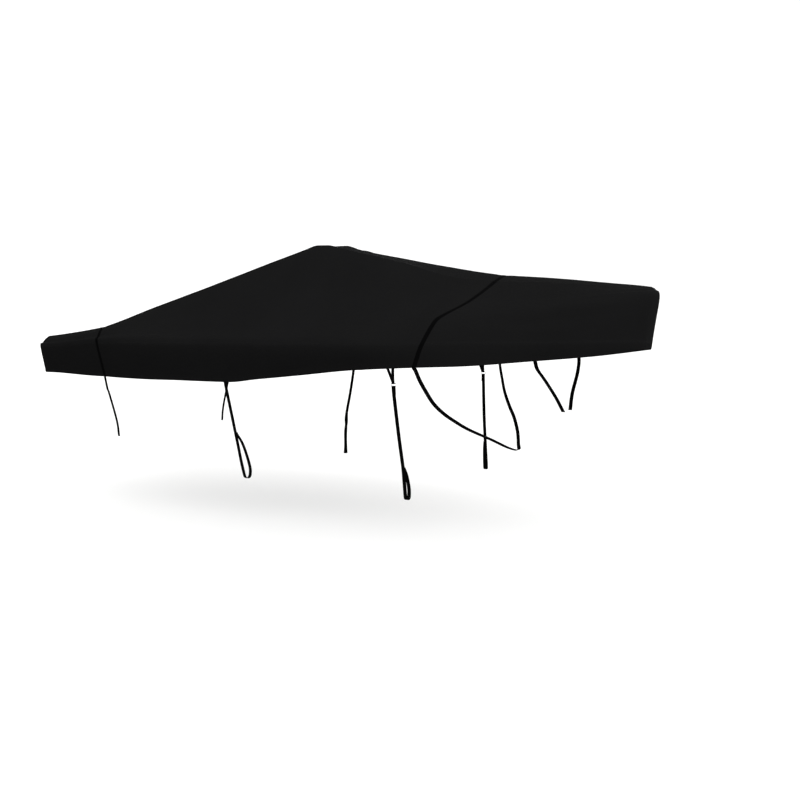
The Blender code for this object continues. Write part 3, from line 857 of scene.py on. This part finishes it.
def laid_route(skin, strap_x, width):
    """Route of a strap's middle over the cloth, and its normals, from starboard hem to port."""
    cloth, points, normals, tree = skin
    end = cloth.end
    inner = cloth.rings[-1][-1] + 1
    lines = [np.array(ring)[:end + 1] for ring in cloth.rings]
    lines += [np.arange(inner + i, len(points), ACROSS - 1) for i in range(ACROSS - 1)]
    lines += [np.array(ring)[2 * end:end - 1:-1] for ring in cloth.rings[::-1]]
    route = []
    facing = []
    for number, line in enumerate(lines):
        past = points[line, 0] - strap_x(points[line, 1], points[line, 2])
        k = int(np.argmax(past > 0.0)) - 1
        share = past[k] / (past[k] - past[k + 1])
        place, normal = (Vector(values[line[k]]).lerp(Vector(values[line[k + 1]]), share)
                         for values in (points, normals))
        if route and (place - route[-1]).length < STRAP_STEP and number < len(lines) - 1:
            continue
        route.append(place)
        facing.append(normal.normalized())
    route = [place + normal * STRAP_LIFT for place, normal in zip(route, facing)]
    facing = smoothed_like(route, facing, STRAP_STEP)
    route = smoothed(route, STRAP_STEP)
    for _ in range(3):
        for line in (route, facing):
            line[1:-1] = [(a + 2 * b + c) / 4 for a, b, c in zip(line, line[1:], line[2:])]
    facing = [normal.normalized() for normal in facing]
    lift_clear(tree, route, facing, width)
    return route, facing


def smoothed_like(route, values, step):
    """Values given at a route's points, at the places that smoothed() makes along it."""
    return [values[span].lerp(values[span + 1], t)
            for span, t in even_places(route, step)] + [values[-1]]


def lift_clear(tree, route, normals, width):
    """Moves a strap's route out wherever its middle would be under the cloth."""
    sides = [(after - before).cross(normal).normalized() * width
             for before, after, normal in zip(route, route[2:], normals[1:])]
    sides = [sides[0]] + sides + [sides[-1]]
    reach = 0.03
    for _ in range(2):
        need = []
        for place, normal, side in zip(route, normals, sides):
            lowest = reach
            for share in (-0.5, -0.25, 0.0, 0.25, 0.5):
                distance = tree.ray_cast(place + side * share + normal * reach, -normal, reach)[3]
                lowest = min(lowest, reach if distance is None else distance)
            need.append(reach - lowest)
        for i, normal in enumerate(normals):
            rise = max(need[max(i - 1, 0):i + 2])
            route[i] = route[i] + normal * (rise + STRAP_LIFT if rise > 0.0 else 0.0)


def joined(first, second):
    """A fine line that leaves the end of one route smoothly for the points of another."""
    return smoothed([first[-2], first[-1]] + second, STRAP_STEP)[2:]


def build_stern_strap(skin, material):
    """The strap over the stern deck, with a free tail down each side."""
    over, normals = laid_route(skin, lambda y, z: STERN_STRAP_X, STERN_STRAP_WIDTH)
    tail = [Vector((STERN_STRAP_X, y, z)) for y, z in STERN_TAIL]
    port = joined(over, tail)
    starboard = [Vector((p.x, -p.y, p.z)) for p in port]
    route = starboard[::-1] + over + port
    out = [Vector((0.0, 1.0, 0.0))] * len(port)
    back = [Vector((0.0, -1.0, 0.0))] * len(port)
    return build_webbing("stern_webbing", route, back + normals + out, STERN_STRAP_WIDTH, material)


def build_bow_strap(skin, material):
    """The strap over the foredeck, closed round the hull under the keel."""
    over, normals = laid_route(skin, bow_strap_x, BOW_STRAP_WIDTH)
    port = [Vector(p) for p in HULL_ROUTE]
    starboard = [Vector((x, -y, z)) for x, y, z in HULL_ROUTE[-2::-1]]
    under = smoothed([over[-1]] + port + starboard + [over[0]], HULL_STEP)[1:-1]
    hull_normals = [Vector((HULL_FLARE, p.y, p.z - AXIS_Z)).normalized() for p in under]
    return build_webbing("bow_webbing", over + under, normals + hull_normals, BOW_STRAP_WIDTH,
                         material, closed=True)


def build_tie(name, route, side, width, material):
    """A flat piece that hangs in a line with its width fore and aft."""
    placed = smoothed([Vector((x, y * side, z)) for x, y, z in route], STRAP_STEP)
    return build_webbing(name, placed, placed, width, material, level=True)


# ---------------------------------------------------------------- rings

def ring_outline():
    """Middle of the ring's wire, as (x, z) about its centre, with even runs and round corners."""
    outline = []
    for corner in range(4):
        turn = math.pi / 2 * corner
        x_side = 1 if corner in (0, 3) else -1
        z_side = 1 if corner in (0, 1) else -1
        for step in range(9):
            angle = turn + math.pi / 2 * step / 8
            outline.append((
                x_side * (RING_HALF_WIDTH - RING_CORNER) + RING_CORNER * math.cos(angle),
                z_side * (RING_HALF_HEIGHT - RING_CORNER) + RING_CORNER * math.sin(angle),
            ))
    return outline


def build_ring(name, side, material):
    """The welded wire ring between the fore hem tab and its tie."""
    centre = Vector((RING_CENTRE.x, RING_CENTRE.y * side, RING_CENTRE.z))
    outline = ring_outline()
    count = len(outline)
    sides = 16
    points = []
    for i, (x, z) in enumerate(outline):
        before, after = outline[i - 1], outline[(i + 1) % count]
        along = Vector((after[0] - before[0], 0.0, after[1] - before[1])).normalized()
        spoke = Vector((along.z, 0.0, -along.x))
        for k in range(sides):
            turn = 2 * math.pi * k / sides
            reach = spoke * math.cos(turn) + Vector((0.0, math.sin(turn), 0.0))
            points.append(centre + Vector((x, 0.0, z)) + reach * RING_WIRE)
    faces = []
    uvs = []
    for i in range(count):
        for k in range(sides):
            a, b, m = i * sides, (i + 1) % count * sides, (k + 1) % sides
            faces.append((a + k, a + m, b + m, b + k))
            uvs.append([(i, k), (i, k + 1), (i + 1, k + 1), (i + 1, k)])
    return link(name, points, faces, uvs, material)


# ---------------------------------------------------------------- stitches

def build_stitch_nodes():
    """Stitches along a line: evenly spaced grains of thread, turned along it."""
    tree = bpy.data.node_groups.new("stitch_row", "GeometryNodeTree")
    tree.interface.new_socket(name="Line", in_out="INPUT", socket_type="NodeSocketGeometry")
    for label, value in (("Pitch", 0.006), ("Length", 0.004), ("Thread", 0.0005)):
        socket = tree.interface.new_socket(name=label, in_out="INPUT", socket_type="NodeSocketFloat")
        socket.default_value = value
    tree.interface.new_socket(name="Material", in_out="INPUT", socket_type="NodeSocketMaterial")
    tree.interface.new_socket(name="Stitches", in_out="OUTPUT", socket_type="NodeSocketGeometry")
    given = node(tree, "NodeGroupInput")
    result = node(tree, "NodeGroupOutput")
    curve = node(tree, "GeometryNodeMeshToCurve")
    even = node(tree, "GeometryNodeResampleCurve", mode="LENGTH")
    grain = node(tree, "GeometryNodeMeshIcoSphere")
    grain.inputs["Radius"].default_value = 1.0
    grain.inputs["Subdivisions"].default_value = 1
    heading = node(tree, "GeometryNodeInputTangent")
    turned = node(tree, "FunctionNodeAlignRotationToVector", axis="Z")
    size = node(tree, "ShaderNodeCombineXYZ")
    placed = node(tree, "GeometryNodeInstanceOnPoints")
    real = node(tree, "GeometryNodeRealizeInstances")
    painted = node(tree, "GeometryNodeSetMaterial")
    join = tree.links.new
    join(given.outputs["Line"], curve.inputs["Mesh"])
    join(curve.outputs["Curve"], even.inputs["Curve"])
    join(given.outputs["Pitch"], even.inputs["Length"])
    join(heading.outputs["Tangent"], turned.inputs["Vector"])
    join(given.outputs["Thread"], size.inputs["X"])
    join(given.outputs["Thread"], size.inputs["Y"])
    half = maths(tree, "MULTIPLY", given.outputs["Length"], 0.5)
    join(half, size.inputs["Z"])
    join(even.outputs["Curve"], placed.inputs["Points"])
    join(grain.outputs["Mesh"], placed.inputs["Instance"])
    join(turned.outputs["Rotation"], placed.inputs["Rotation"])
    join(size.outputs[0], placed.inputs["Scale"])
    join(placed.outputs["Instances"], real.inputs["Geometry"])
    join(real.outputs["Geometry"], painted.inputs["Geometry"])
    join(given.outputs["Material"], painted.inputs["Material"])
    join(painted.outputs["Geometry"], result.inputs["Stitches"])
    return tree


def build_stitches(name, lines, tree, material, pitch=0.006, length=0.0042, thread=0.0005):
    """Rows of stitches along closed lines, each a list of points."""
    points = []
    edges = []
    for line in lines:
        first = len(points)
        points += [tuple(p) for p in line]
        edges += [(first + i, first + i + 1) for i in range(len(line) - 1)]
        edges.append((len(points) - 1, first))
    mesh = bpy.data.meshes.new(name)
    mesh.from_pydata(points, edges, [])
    guide = add_object(name + "_guide", mesh)
    rows = guide.modifiers.new("stitches", "NODES")
    rows.node_group = tree
    values = {"Pitch": pitch, "Length": length, "Thread": thread, "Material": material}
    for item in tree.interface.items_tree:
        if item.in_out == "INPUT" and item.name in values:
            rows[item.identifier] = values[item.name]
    view = bpy.context.evaluated_depsgraph_get()
    made_mesh = bpy.data.meshes.new_from_object(guide.evaluated_get(view), depsgraph=view)
    bpy.data.objects.remove(guide)
    made_mesh.name = name
    made_mesh.shade_smooth()
    made = add_object(name, made_mesh)
    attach(made, "root")
    return made


def girth_line(cloth, points, normals, wanted, index_of_row, lift):
    """A line round the cover at one girth above a row's own girth, just off the cloth."""
    coordinates = np.array([uv[1] for uv in cloth.coordinates])
    base = np.array(cloth.rings[index_of_row])
    target = coordinates[base] + wanted
    line = []
    for i in range(len(base)):
        column = np.array([ring[i] for ring in cloth.rings])
        heights = coordinates[column]
        k = int(np.clip(np.searchsorted(heights, target[i]) - 1, 0, len(column) - 2))
        share = (target[i] - heights[k]) / (heights[k + 1] - heights[k])
        place = points[column[k]] * (1 - share) + points[column[k + 1]] * share
        line.append(place + normals[column[k]] * lift)
    return line


def main():
    """Builds the studio, the cover with its stitches, and all that is tied to it."""
    add_camera()
    add_studio()
    weave = build_weave_group()
    fade = build_fade_group()
    ribs = build_webbing_group()
    canvas = canvas_material(weave, fade)
    thread = thread_material()
    zinc = zinc_material(fade)
    narrow = webbing_material(ribs, fade, "black_webbing", TIE_WIDTH)
    broad = webbing_material(ribs, fade, "broad_black_webbing", BOW_STRAP_WIDTH)

    cover, tree, cloth, points = build_cover(canvas)
    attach(cover, "root")
    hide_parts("cover")
    stitch_nodes = build_stitch_nodes()
    normals = outward_normals(points, cloth.faces)
    rub = cloth.levels.index(1.0)
    hip = len(cloth.levels) - 1
    rows = [girth_line(cloth, points, normals, wanted, row, lift)
            for wanted, row, lift in ((HEM_STITCHES, 0, 0.0004), (-SEAM_STITCHES, rub, 0.0002),
                                      (SEAM_STITCHES, rub, 0.0002), (-SEAM_STITCHES, hip, 0.0002))]
    stitches = build_stitches("cover_stitches", rows, stitch_nodes, thread)

    skin = (cloth, points, normals, tree)
    stern = build_stern_strap(skin, narrow)
    bow = build_bow_strap(skin, broad)
    pieces = [(stern, "stern_strap", (STERN_STRAP_WIDTH, 3.8)),
              (bow, "bow_strap", (BOW_STRAP_WIDTH, 5.0))]
    for side, word in ((-1, "starboard"), (1, "port")):
        for piece, node_name, route, width, length in (
                ("mid_webbing_", "mid_tie_", MID_TIE, TIE_WIDTH, 1.25),
                ("fore_webbing_", "fore_tie_", FORE_TIE, TIE_WIDTH, 1.18),
                ("hem_tab_", "fore_tab_", FORE_TAB, TAB_WIDTH, 0.29),
                ("bow_webbing_", "bow_tie_", BOW_TIE, TIE_WIDTH, 0.66)):
            made = build_tie(piece + word, route, side, width, narrow)
            pieces.append((made, node_name + word, (width, length)))
        ring = build_ring("wire_ring_" + word, side, zinc)
        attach(ring, "root")
        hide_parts("ring_" + word)
    for made, stands_for, flat in pieces:
        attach(made, "root")
        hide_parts(stands_for)


main()
